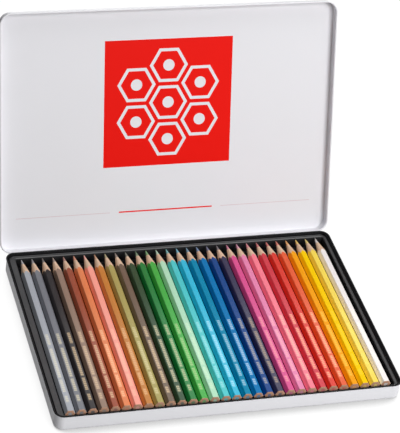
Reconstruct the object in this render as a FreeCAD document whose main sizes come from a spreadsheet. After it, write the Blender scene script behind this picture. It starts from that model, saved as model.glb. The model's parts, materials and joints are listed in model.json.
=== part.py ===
import FreeCAD, Part
import math
import os

import Sketcher

# Flat hinged tin with a moulded tray and a row of hexagonal colour pencils.
# Frame: origin at the centre of the tin's underside, +X to the right along the
# hinge, +Y to the back where the hinge is, +Z up.  Millimetres.  The lid is
# drawn standing open on its stop.

doc = FreeCAD.newDocument("pencil_tin")

# Driving dimensions: name, value, meaning
SIZES = (
    ("tin_height", 14.0, "underside to the top of the rolled rim"),
    ("tin_sheet", 0.5, "thickness of the tinplate"),
    ("tin_corner", 7.0, "outside corner radius of the base, seen from above"),
    ("foot_bend", 2.5, "outside bend between the base wall and its floor"),
    ("rim_bead", 1.5, "thickness of the rolled rim of the base"),
    ("lid_overhang", 2.4, "base wall outside to lid wall outside"),
    ("lid_overlap", 5.5, "part of the base wall that the shut lid covers"),
    ("lid_headroom", 3.0, "top of the base rim to the top of the shut lid"),
    ("lid_bend", 1.6, "outside bend between the lid plate and its wall"),
    ("lid_bead", 1.4, "thickness of the rolled rim of the lid"),
    ("lid_open_angle", 110.5, "turn of the lid from closed to its stop, degrees"),
    ("hinge_spacing", 150.0, "centre of the left hinge to centre of the right"),
    ("hinge_length", 30.0, "overall length of one hinge"),
    ("lid_knuckle_length", 14.0, "length of the lid leaf's middle knuckle"),
    ("knuckle_gap", 0.4, "end play between neighbouring knuckles"),
    ("leaf_sheet", 0.6, "thickness of the hinge leaves"),
    ("base_leaf_drop", 5.0, "hinge axis down to the lower edge of the base leaf"),
    ("base_leaf_rise", 0.8, "hinge axis up to the upper edge of the base leaf"),
    ("lid_leaf_rise", 5.2, "hinge axis up to the upper edge of the closed lid leaf"),
    ("stop_gap", 0.3, "room left between the stop lug and the base leaf"),
    ("notch_margin", 0.8, "room at each end of a hinge in the lid's notch"),
    ("pin_diameter", 1.2, "hinge pin"),
    ("pin_clearance", 0.1, "radial room of the pin in the lid's knuckle"),
    ("pin_end", 0.2, "hinge pin standing out at each end of its hinge"),
    ("tray_sheet", 0.8, "thickness of the moulded tray"),
    ("tray_clearance", 0.3, "room between the rolled rim and the tray"),
    ("tray_lip_drop", 0.7, "top of the rolled rim down to the tray's lip"),
    ("ledge_drop", 2.5, "top of the rolled rim down to the tray's ledge"),
    ("ledge_bevel", 0.8, "bevel where the ledge turns down into the well"),
    ("side_margin", 7.75, "outermost pencil edge to the outside of the base wall"),
    ("end_ledge", 4.4, "end of the well to the outside of the base wall"),
    ("left_room", 0.5, "first pencil to the left side of the well"),
    ("right_room", 3.1, "last pencil to the right side of the well"),
    ("end_room", 1.4, "mean room between a pencil's end and the well"),
    ("well_corner", 1.8, "corner radius of the well, seen from above"),
    ("bed_front_inset", 9.0, "front end of the pencils to the front of the bed"),
    ("bed_back_inset", 21.0, "pencil tips to the back of the bed"),
    ("ridge_height", 2.0, "height of the ridges between the pencils"),
    ("pencil_count", 30, "pencils in the row"),
    ("pencil_length", 175.0, "length of a pencil"),
    ("pencil_flats", 6.9, "width of a pencil across its flats"),
    ("pencil_gap", 0.43, "room between neighbouring pencils"),
    ("pencil_clearance", 0.3, "room between a pencil and the tray"),
    ("pencil_rise", 0.4, "top of the base rim up to the top of the pencils"),
    ("pencil_slide", 0.3, "shift of the row towards the front of the well"),
    ("lead_diameter", 3.0, "coloured lead"),
    ("lead_glue", 0.05, "glue line between the lead and its casing"),
    ("tip_diameter", 0.6, "blunt end of a sharpened lead"),
    ("sharpening_angle", 12.0, "half angle of the sharpened cone, degrees"),
)

# Distance below which two places count as the same
NEAR = 1e-5

# Flat sides that a pencil's round cone and lead are drawn with, because there are many pencils
CONE_SIDES = 12

# Colours of the row, left to right
PENCIL_COLOURS = (
    "silver_grey", "slate_grey", "charcoal", "taupe", "red_brown",
    "terracotta", "salmon", "ochre", "olive", "umber",
    "grey_green", "leaf_green", "bright_green", "pale_green", "turquoise",
    "sky_blue", "cerulean", "mid_blue", "deep_blue", "indigo",
    "magenta", "lilac", "pink", "crimson", "red",
    "vermilion", "orange", "yellow", "lemon", "white",
)

sheet = doc.addObject("Spreadsheet::Sheet", "Sizes")
for row, (alias, number, meaning) in enumerate(SIZES, start=1):
    sheet.set(f"A{row}", meaning)
    sheet.set(f"B{row}", str(number))
    sheet.setAlias(f"B{row}", alias)
doc.recompute()


class Size:
    """A length that knows its number and the sheet formula that gives it."""

    def __init__(self, number, formula):
        self.number = number
        self.formula = formula

    @staticmethod
    def of(item):
        """Take a Size as it is and wrap a plain number."""
        return item if isinstance(item, Size) else Size(item, repr(item))

    def _join(self, sign, other, number):
        return Size(number, f"({self.formula} {sign} {other.formula})")

    def __add__(self, other):
        other = Size.of(other)
        return self._join("+", other, self.number + other.number)

    def __sub__(self, other):
        other = Size.of(other)
        return self._join("-", other, self.number - other.number)

    def __mul__(self, other):
        other = Size.of(other)
        return self._join("*", other, self.number * other.number)

    def __truediv__(self, other):
        other = Size.of(other)
        return self._join("/", other, self.number / other.number)

    def __neg__(self):
        return Size(-self.number, f"(0 - {self.formula})")


def cell(alias):
    """The Size kept in the sheet under a name."""
    return Size(float(sheet.get(alias)), f"Sizes.{alias}")


def turned(function, angle):
    """A trigonometric function, such as cos, of an angle Size in degrees."""
    number = getattr(math, function)(math.radians(angle.number))
    return Size(number, f"{function}({angle.formula})")


def bind(target, path, size):
    """Drive one property of an object by a Size."""
    target.setExpression(path, Size.of(size).formula)


def new_body(name):
    """An empty body with its name as label."""
    body = doc.addObject("PartDesign::Body", name)
    body.Label = name
    return body


def origin_plane(body, role):
    """One of the body's own origin planes, such as XY_Plane."""
    return next(item for item in body.Origin.OriginFeatures if item.Role == role)


def new_sketch(body, name, role, offset=None, across=None):
    """A sketch on an origin plane, moved along the plane's normal by offset, and across."""
    sketch = body.newObject("Sketcher::SketchObject", name)
    sketch.AttachmentSupport = (origin_plane(body, role), [""])
    sketch.MapMode = "FlatFace"
    if offset is not None:
        bind(sketch, "AttachmentOffset.Base.z", offset)
    if across is not None:
        bind(sketch, "AttachmentOffset.Base.x", across)
    return sketch


def dimension(sketch, name, *arguments):
    """Add one named dimension whose last argument is a Size, and drive it by that Size."""
    *geometry, size = arguments
    index = sketch.addConstraint(Sketcher.Constraint(*geometry, size.number))
    sketch.renameConstraint(index, name)
    bind(sketch, f"Constraints.{name}", size)


def draw_polygon(sketch, corners):
    """Closed polygon whose corners are pairs of Sizes measured from the origin."""
    corners = [(Size.of(x), Size.of(y)) for x, y in corners]
    points = [FreeCAD.Vector(x.number, y.number, 0) for x, y in corners]
    count = len(points)
    first = sketch.GeometryCount
    for index in range(count):
        sketch.addGeometry(Part.LineSegment(points[index], points[(index + 1) % count]))
    for index in range(count):
        following = first + (index + 1) % count
        sketch.addConstraint(Sketcher.Constraint("Coincident", first + index, 2, following, 1))
    for index, (x, y) in enumerate(corners):
        edge = first + index
        dimension(sketch, f"corner_{edge}_across", "DistanceX", -1, 1, edge, 1, x)
        dimension(sketch, f"corner_{edge}_up", "DistanceY", -1, 1, edge, 1, y)


def draw_rectangle(sketch, left, right, low, high):
    """Rectangle between two pairs of Sizes."""
    draw_polygon(sketch, ((left, low), (right, low), (right, high), (left, high)))


def draw_circle(sketch, across, up, radius):
    """Circle with its centre and radius given as Sizes."""
    across, up, radius = Size.of(across), Size.of(up), Size.of(radius)
    centre = FreeCAD.Vector(across.number, up.number, 0)
    circle = sketch.addGeometry(Part.Circle(centre, FreeCAD.Vector(0, 0, 1), radius.number))
    dimension(sketch, f"circle_{circle}_across", "DistanceX", -1, 1, circle, 3, across)
    dimension(sketch, f"circle_{circle}_up", "DistanceY", -1, 1, circle, 3, up)
    dimension(sketch, f"circle_{circle}_radius", "Radius", circle, radius)


def draw_rounded_rectangle(sketch, half_across, half_up, radius, middle_up=0.0):
    """Rectangle with four equal round corners, centred across and at middle_up."""
    middle_up = Size.of(middle_up)
    a, b, r, m = half_across.number, half_up.number, radius.number, middle_up.number
    flat_a, flat_b = a - r, b - r
    sides = (
        ((-flat_a, m - b), (flat_a, m - b)),
        ((a, m - flat_b), (a, m + flat_b)),
        ((flat_a, m + b), (-flat_a, m + b)),
        ((-a, m + flat_b), (-a, m - flat_b)),
    )
    corners = (
        (flat_a, m - flat_b, 270), (flat_a, m + flat_b, 0),
        (-flat_a, m + flat_b, 90), (-flat_a, m - flat_b, 180),
    )
    first = sketch.GeometryCount
    for start, end in sides:
        sketch.addGeometry(Part.LineSegment(FreeCAD.Vector(*start, 0), FreeCAD.Vector(*end, 0)))
    for x, y, start_angle in corners:
        circle = Part.Circle(FreeCAD.Vector(x, y, 0), FreeCAD.Vector(0, 0, 1), r)
        turn = math.radians(start_angle)
        sketch.addGeometry(Part.ArcOfCircle(circle, turn, turn + math.pi / 2))
    for index in range(4):
        side, arc, following = first + index, first + 4 + index, first + (index + 1) % 4
        sketch.addConstraint(Sketcher.Constraint("Tangent", side, 2, arc, 1))
        sketch.addConstraint(Sketcher.Constraint("Tangent", arc, 2, following, 1))
        level = "Horizontal" if index % 2 == 0 else "Vertical"
        sketch.addConstraint(Sketcher.Constraint(level, side))
    for index in range(1, 4):
        sketch.addConstraint(Sketcher.Constraint("Equal", first + 4, first + 4 + index))
    dimension(sketch, f"round_{first}", "Radius", first + 4, radius)
    dimension(sketch, f"right_{first}", "DistanceX", -1, 1, first + 1, 1, half_across)
    dimension(sketch, f"left_{first}", "DistanceX", -1, 1, first + 3, 1, -half_across)
    dimension(sketch, f"top_{first}", "DistanceY", -1, 1, first + 2, 1, middle_up + half_up)
    dimension(sketch, f"bottom_{first}", "DistanceY", -1, 1, first, 1, middle_up - half_up)


def pad(body, name, sketch, length):
    """Pad a sketch along its normal and check that it adds material."""
    before = body.Shape.Volume if body.Tip else 0.0
    feature = body.newObject("PartDesign::Pad", name)
    feature.Profile = sketch
    bind(feature, "Length", length)
    doc.recompute()
    if body.Shape.Volume <= before:
        raise ValueError(f"{name} adds no material")
    return feature


def cut(body, name, sketch, **settings):
    """Pocket a sketch against its normal and check that it removes material."""
    before = body.Shape.Volume
    feature = body.newObject("PartDesign::Pocket", name)
    feature.Profile = sketch
    for key, setting in settings.items():
        if isinstance(setting, Size):
            bind(feature, key, setting)
        else:
            setattr(feature, key, setting)
    doc.recompute()
    if body.Shape.Volume >= before:
        raise ValueError(f"{name} removes no material")
    return feature


def edges_where(feature, test):
    """Names of a feature's edges whose middle and both ends pass a test on their point."""
    names = []
    for index, edge in enumerate(feature.Shape.Edges, start=1):
        points = [vertex.Point for vertex in edge.Vertexes]
        points.append(edge.valueAt((edge.FirstParameter + edge.LastParameter) / 2))
        if all(test(point) for point in points):
            names.append(f"Edge{index}")
    return names


def edges_at_height(feature, height):
    """Names of a feature's edges that lie level at a height given as a Size."""
    return edges_where(feature, lambda point: abs(point.z - height.number) < NEAR)


def soften(body, name, kind, base, edges, size):
    """Give chosen edges of the feature before a Fillet or a Chamfer of one size."""
    feature = body.newObject(f"PartDesign::{kind}", name)
    feature.Base = (base, edges)
    bind(feature, "Radius" if kind == "Fillet" else "Size", size)
    doc.recompute()
    if "Invalid" in feature.State:
        raise ValueError(f"{name} fails on its edges")
    return feature


def rolled_rim(body, half_across, half_up, radius, height, bead, middle_up=0.0):
    """Sweep an eight-sided bead along a rounded rectangle, as the rolled edge of a sheet."""
    path = new_sketch(body, f"{body.Name}_rim_path", "XY_Plane", height)
    draw_rounded_rectangle(path, half_across, half_up, radius, middle_up)
    section = new_sketch(body, f"{body.Name}_rim_section", "YZ_Plane", radius - half_across)
    front = Size.of(middle_up) - half_up
    reach = bead / 2
    short = reach * (math.sqrt(2) - 1)
    steps = ((reach, short), (short, reach), (-short, reach), (-reach, short))
    steps += tuple((-across, -up) for across, up in steps)
    draw_polygon(section, [(front + across, height + up) for across, up in steps])
    feature = body.newObject("PartDesign::AdditivePipe", f"{body.Name}_rim")
    feature.Profile = section
    feature.Spine = (path, [f"Edge{index}" for index in range(1, 9)])
    doc.recompute()
    return feature


# Places that several pieces share, worked out from the pencils outwards
tin_sheet = cell("tin_sheet")
lid_overhang = cell("lid_overhang")
lid_height = cell("lid_overlap") + cell("lid_headroom")
pencil_side = cell("pencil_flats") / math.sqrt(3)
pencil_pitch = pencil_side * 2 + cell("pencil_gap")
half_row = pencil_pitch * (cell("pencil_count") - 1) / 2
well_half_width = half_row + pencil_side + (cell("left_room") + cell("right_room")) / 2
well_middle = (cell("right_room") - cell("left_room")) / 2
well_half_depth = cell("pencil_length") / 2 + cell("end_room")
half_width = half_row + pencil_side + cell("side_margin")
half_depth = well_half_depth + cell("end_ledge")
knuckle_radius = cell("pin_diameter") / 2 + cell("pin_clearance") + cell("leaf_sheet")
axis_back = half_depth + lid_overhang + knuckle_radius
axis_height = cell("tin_height") - cell("lid_overlap")
rim_inset = tin_sheet / 2 + cell("rim_bead") / 2
ledge_height = cell("tin_height") - cell("ledge_drop")
lip_height = cell("tin_height") - cell("tray_lip_drop")
pencil_height = cell("tin_height") + cell("pencil_rise") - cell("pencil_flats") / 2
bed_height = pencil_height - cell("pencil_flats") / 2 - cell("pencil_clearance")
tip_place = cell("pencil_length") / 2 - cell("pencil_slide")
end_place = -cell("pencil_length") / 2 - cell("pencil_slide")


def build_base_pan():
    """Drawn pan: a floor, a bend, plain walls and a rolled rim."""
    body = new_body("base_pan")
    wall_top = cell("tin_height") - cell("rim_bead") / 2
    outline = new_sketch(body, "pan_outline", "XY_Plane")
    draw_rounded_rectangle(outline, half_width, half_depth, cell("tin_corner"))
    pad(body, "pan_block", outline, wall_top)
    inside = new_sketch(body, "pan_inside", "XY_Plane", wall_top)
    inner_corner = cell("tin_corner") - tin_sheet
    draw_rounded_rectangle(inside, half_width - tin_sheet, half_depth - tin_sheet, inner_corner)
    hollow = cut(body, "pan_hollow", inside, Length=wall_top - tin_sheet)
    floor = edges_at_height(hollow, tin_sheet)
    inner_bend = cell("foot_bend") - tin_sheet
    bend = soften(body, "pan_floor_bend", "Chamfer", hollow, floor, inner_bend)
    foot = edges_at_height(bend, Size.of(0.0))
    soften(body, "pan_foot_bend", "Fillet", bend, foot, cell("foot_bend"))
    middle = tin_sheet / 2
    rim_corner = cell("tin_corner") - middle
    rolled_rim(body, half_width - middle, half_depth - middle, rim_corner, wall_top, cell("rim_bead"))
    return body


def build_tray():
    """Moulded tray: lip, ledge, well, raised bed with ridges between the pencils."""
    body = new_body("tray_insert")
    skin = cell("tray_sheet")
    inset = rim_inset + cell("tray_clearance")
    outer_across, outer_up = half_width - inset, half_depth - inset
    outer_corner = cell("tin_corner") - inset
    ledge_under = ledge_height - skin

    outline = new_sketch(body, "tray_outline", "XY_Plane", ledge_under)
    draw_rounded_rectangle(outline, outer_across, outer_up, outer_corner)
    pad(body, "tray_flange", outline, lip_height - ledge_under)
    recess = new_sketch(body, "tray_recess_outline", "XY_Plane", lip_height)
    draw_rounded_rectangle(recess, outer_across - skin, outer_up - skin, outer_corner - skin)
    cut(body, "tray_recess", recess, Length=lip_height - ledge_height)

    well_wall = new_sketch(body, "tray_well_wall", "XY_Plane", tin_sheet, well_middle)
    wall_corner = cell("well_corner") + skin
    draw_rounded_rectangle(well_wall, well_half_width + skin, well_half_depth + skin, wall_corner)
    pad(body, "tray_well_block", well_wall, ledge_height - tin_sheet)
    well = new_sketch(body, "tray_well_outline", "XY_Plane", ledge_height, well_middle)
    draw_rounded_rectangle(well, well_half_width, well_half_depth, cell("well_corner"))
    hollow = cut(body, "tray_well", well, Length=ledge_height - tin_sheet - skin)

    def on_well_edge(point):
        within_width = abs(point.x - well_middle.number) < well_half_width.number + NEAR
        within_depth = abs(point.y) < well_half_depth.number + NEAR
        return within_width and within_depth and abs(point.z - ledge_height.number) < NEAR

    mouth = edges_where(hollow, on_well_edge)
    soften(body, "tray_ledge_bevel", "Chamfer", hollow, mouth, cell("ledge_bevel"))

    bed_front = end_place + cell("bed_front_inset")
    bed_back = tip_place - cell("bed_back_inset")
    bed_half = well_half_width + skin / 2
    bed_plan = new_sketch(body, "tray_bed_plan", "XY_Plane", tin_sheet, well_middle)
    draw_rectangle(bed_plan, -bed_half, bed_half, bed_front, bed_back)
    pad(body, "tray_bed", bed_plan, bed_height - tin_sheet)
    under = new_sketch(body, "tray_bed_under", "XY_Plane", tin_sheet, well_middle)
    draw_rectangle(under, -well_half_width, well_half_width, bed_front + skin, bed_back - skin)
    under_height = bed_height - tin_sheet - skin
    cut(body, "tray_bed_hollow", under, Length=under_height, Reversed=True)

    # A ridge fills the groove between two hexagons, less the clearance square to its sides
    slope = math.sqrt(3)
    room = cell("pencil_clearance") * 2 / slope
    half_groove = (pencil_pitch - pencil_side) / 2 - room
    foot_half = half_groove + cell("pencil_clearance") / slope
    crest_half = foot_half - cell("ridge_height") / slope
    first_ridge = pencil_pitch / 2 - half_row
    crest = bed_height + cell("ridge_height")
    section = new_sketch(body, "tray_ridge_section", "XZ_Plane", -bed_back)
    draw_polygon(section, (
        (first_ridge - foot_half, bed_height - skin / 2),
        (first_ridge + foot_half, bed_height - skin / 2),
        (first_ridge + foot_half, bed_height),
        (first_ridge + crest_half, crest),
        (first_ridge - crest_half, crest),
        (first_ridge - foot_half, bed_height),
    ))
    ridge = pad(body, "tray_ridge", section, bed_back - bed_front)
    row = body.newObject("PartDesign::LinearPattern", "tray_ridges")
    row.Originals = [ridge]
    row.Direction = (section, ["H_Axis"])
    bind(row, "Length", half_row * 2 - pencil_pitch)
    bind(row, "Occurrences", cell("pencil_count") - 1)
    body.Tip = row
    return body


def place_on_hinge(thing, across, turn=None):
    """Put a piece that is drawn about the hinge axis on that axis, turned open if asked."""
    start = FreeCAD.Rotation()
    if turn is not None:
        start = FreeCAD.Rotation(FreeCAD.Vector(-1, 0, 0), turn.number)
    across = Size.of(across)
    spot = FreeCAD.Vector(across.number, axis_back.number, axis_height.number)
    thing.Placement = FreeCAD.Placement(spot, start)
    bind(thing, ".Placement.Base.x", across)
    bind(thing, ".Placement.Base.y", axis_back)
    bind(thing, ".Placement.Base.z", axis_height)
    if turn is not None:
        bind(thing, ".Placement.Rotation.Angle", turn)


def build_lid():
    """Drawn lid, drawn shut with the hinge axis as its origin, then turned open."""
    body = new_body("lid")
    across = half_width + lid_overhang
    up = half_depth + lid_overhang
    middle = -knuckle_radius - up
    corner = cell("tin_corner") + lid_overhang
    bead = cell("lid_bead")
    wall_low = bead / 2

    outline = new_sketch(body, "lid_outline", "XY_Plane", wall_low)
    draw_rounded_rectangle(outline, across, up, corner, middle)
    pad(body, "lid_block", outline, lid_height - wall_low)
    inside = new_sketch(body, "lid_inside", "XY_Plane", wall_low)
    draw_rounded_rectangle(inside, across - tin_sheet, up - tin_sheet, corner - tin_sheet, middle)
    depth = lid_height - tin_sheet - wall_low
    hollow = cut(body, "lid_hollow", inside, Length=depth, Reversed=True)
    ceiling = edges_at_height(hollow, lid_height - tin_sheet)
    inner_bend = cell("lid_bend") - tin_sheet
    bend = soften(body, "lid_inner_bend", "Fillet", hollow, ceiling, inner_bend)
    top = edges_at_height(bend, lid_height)
    soften(body, "lid_top_bend", "Fillet", bend, top, cell("lid_bend"))
    half_sheet = tin_sheet / 2
    rolled_rim(body, across - half_sheet, up - half_sheet, corner - half_sheet, wall_low, bead, middle)

    # The rolled rim is cut away where the two hinges sit
    notch_half = cell("hinge_length") / 2 + cell("notch_margin")
    notch_top = knuckle_radius + cell("knuckle_gap")
    notch_start = knuckle_radius + tin_sheet + bead
    notches = new_sketch(body, "lid_notches", "XZ_Plane", notch_start)
    for side in (-1, 1):
        centre = cell("hinge_spacing") / 2 * side
        draw_rectangle(notches, centre - notch_half, centre + notch_half, -bead, notch_top)
    cut(body, "lid_hinge_notches", notches, Length=notch_start + bead)
    place_on_hinge(body, 0.0, cell("lid_open_angle"))
    return body


def build_base_leaf(side_name, side):
    """Leaf on the back wall of the base: a plate, two arms and two curled knuckles."""
    body = new_body(f"base_hinge_leaf_{side_name}")
    leaf = cell("leaf_sheet")
    half_length = cell("hinge_length") / 2
    wall = -knuckle_radius - lid_overhang
    knuckle_length = half_length - cell("lid_knuckle_length") / 2 - cell("knuckle_gap")

    plate = new_sketch(body, f"base_plate_{side_name}", "YZ_Plane", -half_length)
    draw_rectangle(plate, wall, wall + leaf, -cell("base_leaf_drop"), cell("base_leaf_rise"))
    pad(body, f"base_plate_pad_{side_name}", plate, cell("hinge_length"))
    arm = new_sketch(body, f"base_arm_{side_name}", "YZ_Plane", -half_length)
    arm_low = -knuckle_radius
    draw_rectangle(arm, wall, -knuckle_radius / 2, arm_low, arm_low + leaf)
    arm_pad = pad(body, f"base_arm_pad_{side_name}", arm, knuckle_length)
    ring = new_sketch(body, f"base_knuckle_{side_name}", "YZ_Plane", -half_length)
    draw_circle(ring, 0.0, 0.0, knuckle_radius)
    ring_pad = pad(body, f"base_knuckle_pad_{side_name}", ring, knuckle_length)
    both = body.newObject("PartDesign::Mirrored", f"base_knuckles_{side_name}")
    both.Originals = [arm_pad, ring_pad]
    both.MirrorPlane = (origin_plane(body, "YZ_Plane"), [""])
    body.Tip = both
    doc.recompute()
    bore_for_pin(body, cell("pin_diameter") / 2)
    place_on_hinge(body, cell("hinge_spacing") / 2 * side)
    return body


def bore_for_pin(body, radius):
    """Bore a leaf's knuckles from end to end for the hinge pin."""
    half_length = cell("hinge_length") / 2
    hole = new_sketch(body, f"{body.Name}_bore", "YZ_Plane", half_length)
    draw_circle(hole, 0.0, 0.0, radius)
    cut(body, f"{body.Name}_bore_cut", hole, Length=half_length * 2)


def build_lid_leaf(side_name, side):
    """Leaf on the back wall of the lid: a plate, a curled knuckle and a stop lug."""
    body = new_body(f"lid_hinge_leaf_{side_name}")
    leaf = cell("leaf_sheet")
    half_length = cell("hinge_length") / 2
    knuckle_half = cell("lid_knuckle_length") / 2
    wall = -knuckle_radius
    plate_low = knuckle_radius + cell("knuckle_gap")

    plate = new_sketch(body, f"lid_plate_{side_name}", "YZ_Plane", -half_length)
    draw_rectangle(plate, wall, wall + leaf, plate_low, cell("lid_leaf_rise"))
    pad(body, f"lid_plate_pad_{side_name}", plate, cell("hinge_length"))
    strip = new_sketch(body, f"lid_strip_{side_name}", "YZ_Plane", -knuckle_half)
    draw_rectangle(strip, wall, wall + leaf, 0.0, plate_low + leaf)
    pad(body, f"lid_strip_pad_{side_name}", strip, cell("lid_knuckle_length"))
    ring = new_sketch(body, f"lid_knuckle_{side_name}", "YZ_Plane", -knuckle_half)
    draw_circle(ring, 0.0, 0.0, knuckle_radius)
    pad(body, f"lid_knuckle_pad_{side_name}", ring, cell("lid_knuckle_length"))

    # The lug points at the base leaf, square to it, when the lid is open
    reach = knuckle_radius + lid_overhang - leaf - cell("stop_gap")
    cosine = turned("cos", cell("lid_open_angle"))
    sine = turned("sin", cell("lid_open_angle"))
    root = knuckle_radius - leaf / 2
    half_leaf = leaf / 2
    lug_corners = []
    for along, aside in ((root, -half_leaf), (reach, -half_leaf), (reach, half_leaf), (root, half_leaf)):
        lug_corners.append((-(cosine * along) + sine * aside, -(sine * along) - cosine * aside))
    lug = new_sketch(body, f"lid_lug_{side_name}", "YZ_Plane", -knuckle_half)
    draw_polygon(lug, lug_corners)
    pad(body, f"lid_lug_pad_{side_name}", lug, cell("lid_knuckle_length"))
    bore_for_pin(body, cell("pin_diameter") / 2 + cell("pin_clearance"))
    place_on_hinge(body, cell("hinge_spacing") / 2 * side, cell("lid_open_angle"))
    return body


def build_pin(side_name, side):
    """Wire pin, gripped by the base leaf's knuckles and free in the lid leaf's."""
    body = new_body(f"hinge_pin_{side_name}")
    half_length = cell("hinge_length") / 2 + cell("pin_end")
    section = new_sketch(body, f"pin_section_{side_name}", "YZ_Plane", -half_length)
    draw_circle(section, 0.0, 0.0, cell("pin_diameter") / 2)
    pad(body, f"pin_wire_{side_name}", section, half_length * 2)
    place_on_hinge(body, cell("hinge_spacing") / 2 * side)
    return body


def draw_regular_polygon(sketch, sides, half_width):
    """Regular polygon about the origin, given by its number of sides and half its width."""
    radius = half_width / math.cos(math.pi / sides)
    corners = []
    for index in range(sides):
        turn = math.pi * (2 * index + 1) / sides
        corners.append((radius * math.cos(turn), radius * math.sin(turn)))
    draw_polygon(sketch, corners)


def sharpen(body):
    """Cut one flat of the sharpened cone and repeat it round the pencil's axis."""
    length = cell("pencil_length")
    tip = cell("tip_diameter") / 2
    wide = cell("pencil_flats")
    start = length - (wide - tip) / turned("tan", cell("sharpening_angle"))
    waste = new_sketch(body, f"{body.Name}_waste", "XY_Plane")
    draw_polygon(waste, ((tip, length), (wide, length), (wide, start)))
    flat = cut(body, f"{body.Name}_flat", waste, Type="ThroughAll", Midplane=True)
    cone = body.newObject("PartDesign::PolarPattern", f"{body.Name}_cone")
    cone.Originals = [flat]
    cone.Axis = (waste, ["V_Axis"])
    cone.Angle = 360.0
    bind(cone, "Occurrences", Size.of(CONE_SIDES))
    body.Tip = cone
    doc.recompute()


def build_pencil_casing():
    """Hexagonal wooden casing along Y with its blunt end at the origin, bored for its lead."""
    body = new_body("pencil_casing")
    length = cell("pencil_length")
    flat = cell("pencil_flats") / 2
    half_side = pencil_side / 2
    hexagon = new_sketch(body, "casing_hexagon", "XZ_Plane", -length)
    draw_polygon(hexagon, (
        (pencil_side, 0.0), (half_side, flat), (-half_side, flat),
        (-pencil_side, 0.0), (-half_side, -flat), (half_side, -flat),
    ))
    pad(body, "casing_bar", hexagon, length)
    bore = new_sketch(body, "casing_bore", "XZ_Plane")
    draw_regular_polygon(bore, CONE_SIDES, cell("lead_diameter") / 2 + cell("lead_glue"))
    cut(body, "casing_bore_cut", bore, Length=length)
    sharpen(body)
    return body


def build_pencil_lead():
    """Coloured lead, flush at the blunt end and sharpened with its casing at the other."""
    body = new_body("pencil_lead")
    length = cell("pencil_length")
    section = new_sketch(body, "lead_section", "XZ_Plane", -length)
    draw_regular_polygon(section, CONE_SIDES, cell("lead_diameter") / 2)
    pad(body, "lead_bar", section, length)
    sharpen(body)
    return body


def build_pencils():
    """The row of pencils: each is a casing and its lead, set at its place in the tray."""
    casing = build_pencil_casing()
    lead = build_pencil_lead()
    pencils = []
    for place in range(int(cell("pencil_count").number)):
        colour = PENCIL_COLOURS[place % len(PENCIL_COLOURS)]
        label = f"pencil_{place + 1:02d}_{colour}"
        pencil = doc.addObject("Part::Compound", label)
        pencil.Label = label
        pencil.Links = [casing, lead]
        bind(pencil, ".Placement.Base.x", pencil_pitch * place - half_row)
        bind(pencil, ".Placement.Base.y", end_place)
        bind(pencil, ".Placement.Base.z", pencil_height)
        pencils.append(pencil)
    return pencils


def build_parts():
    """Every piece of the set, in the order of assembly."""
    parts = [build_base_pan(), build_tray(), build_lid()]
    for side_name, side in (("left", -1), ("right", 1)):
        parts.append(build_base_leaf(side_name, side))
        parts.append(build_lid_leaf(side_name, side))
        parts.append(build_pin(side_name, side))
    parts.extend(build_pencils())
    return parts


def write_parts(parts):
    """Check every object of the document, then write each piece to its own file."""
    doc.recompute()
    for item in doc.Objects:
        if "Invalid" in item.State or "Error" in item.State:
            raise ValueError(f"{item.Label} failed: {item.State}")
    for part in parts:
        if part.Shape.isNull() or not part.Shape.isValid():
            raise ValueError(f"{part.Label} has no valid shape")
    os.makedirs("parts", exist_ok=True)
    for part in parts:
        part.Shape.exportStep(f"parts/{part.Label}.step")


write_parts(build_parts())
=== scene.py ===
import json
import logging
import math
from dataclasses import dataclass, field
from enum import Enum
from typing import Any, Sequence, Union

import bpy
import numpy as np
from mathutils import Matrix, Vector


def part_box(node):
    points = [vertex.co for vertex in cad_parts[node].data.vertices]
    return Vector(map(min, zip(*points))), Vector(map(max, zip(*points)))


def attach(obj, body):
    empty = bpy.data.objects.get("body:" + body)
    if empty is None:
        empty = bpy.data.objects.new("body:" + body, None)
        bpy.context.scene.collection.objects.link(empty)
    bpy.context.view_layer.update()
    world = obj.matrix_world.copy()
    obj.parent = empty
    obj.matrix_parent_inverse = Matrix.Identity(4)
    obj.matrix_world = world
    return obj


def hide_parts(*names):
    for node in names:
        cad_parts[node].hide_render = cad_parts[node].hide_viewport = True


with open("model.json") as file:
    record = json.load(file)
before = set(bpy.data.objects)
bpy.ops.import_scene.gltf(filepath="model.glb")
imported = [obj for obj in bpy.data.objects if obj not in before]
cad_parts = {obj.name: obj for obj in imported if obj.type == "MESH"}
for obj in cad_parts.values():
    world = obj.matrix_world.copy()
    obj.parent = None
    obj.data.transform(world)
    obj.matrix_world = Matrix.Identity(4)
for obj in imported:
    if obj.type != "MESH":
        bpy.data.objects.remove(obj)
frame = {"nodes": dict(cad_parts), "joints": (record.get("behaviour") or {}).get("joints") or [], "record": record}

# Open flat tin of colour pencils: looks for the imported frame, sizes in millimetres

LOG = logging.getLogger("pencil_tin")
MM = 0.001
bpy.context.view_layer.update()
ZONE = "zone"
NOISE_DETAIL = 3.0

Colour = tuple[float, float, float]
Place = tuple[float, float, float]
Number = Union[float, "Shade"]


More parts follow.
